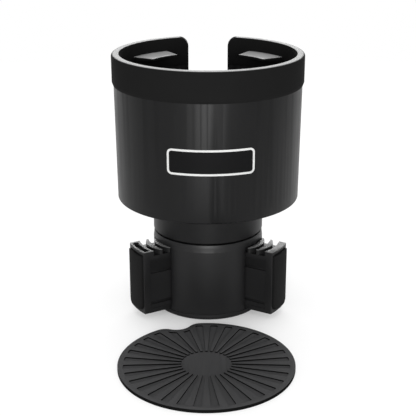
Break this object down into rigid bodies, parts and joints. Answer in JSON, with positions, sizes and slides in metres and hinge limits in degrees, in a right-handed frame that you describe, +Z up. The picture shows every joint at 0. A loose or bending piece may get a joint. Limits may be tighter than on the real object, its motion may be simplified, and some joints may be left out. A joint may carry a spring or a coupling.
{
  "type": "cup holder expander",
  "caption": "Wide car cup on a narrow base whose jaws spread to grip a small cup holder as the cup is turned, with a rubber grip ring and a loose coaster.",
  "frame": {"origin": "centre of the base's bottom face, on the base's axis", "axes": "+Z up along the cup's axis, -Y towards the front, where the coaster lies, +Y towards the handle slot"},
  "size_m": [0.1058, 0.1819, 0.1468],
  "materials": {
    "cup_moulding": "satin black moulded plastic",
    "black_moulding": "satin black moulded plastic",
    "jaw_moulding": "fine-grained black moulded plastic",
    "dark_nylon": "dull dark nylon",
    "ring_rubber": "soft matte black rubber",
    "pad_rubber": "matte black rubber",
    "coaster_rubber": "matte dark rubber",
    "screw_steel": "zinc-plated steel"
  },
  "bodies": {
    "base": {"base_housing": "black_moulding", "base_top_plate": "black_moulding", "base_cover": "black_moulding", "base_cover_screws": "screw_steel", "friction_washer": "dark_nylon", "coaster": "coaster_rubber"},
    "cup_assembly": {"cup": "cup_moulding", "grip_ring": "ring_rubber", "cup_screws": "screw_steel", "neck_collar": "black_moulding", "scroll_plate": "dark_nylon", "scroll_screws": "screw_steel"},
    "left_jaw": {"jaw_left": "jaw_moulding", "jaw_pad_left": "pad_rubber"},
    "right_jaw": {"jaw_right": "jaw_moulding", "jaw_pad_right": "pad_rubber"},
    "rear_jaw": {"jaw_rear": "jaw_moulding", "jaw_pad_rear": "pad_rubber"}
  },
  "joints": [
    {"name": "cup_twist", "type": "hinge", "parent": "base", "child": "cup_assembly", "pos_m": [0, 0, 0.0453], "axis": [0, 0, 1], "range_deg": [-100, 900]},
    {"name": "left_jaw_slide", "type": "slide", "parent": "base", "child": "left_jaw", "axis": [-0.866, -0.5, 0], "range_m": [-0.0135, 0.0015]},
    {"name": "right_jaw_slide", "type": "slide", "parent": "base", "child": "right_jaw", "axis": [0.866, -0.5, 0], "range_m": [-0.0135, 0.0015]},
    {"name": "rear_jaw_slide", "type": "slide", "parent": "base", "child": "rear_jaw", "axis": [0, 1, 0], "range_m": [-0.0135, 0.0015]}
  ],
  "couplings": [
    {"joint": "left_jaw_slide", "follows": "cup_twist", "m_per_rad": -0.00085943},
    {"joint": "right_jaw_slide", "follows": "cup_twist", "m_per_rad": -0.00085943},
    {"joint": "rear_jaw_slide", "follows": "cup_twist", "m_per_rad": -0.00085943}
  ]
}
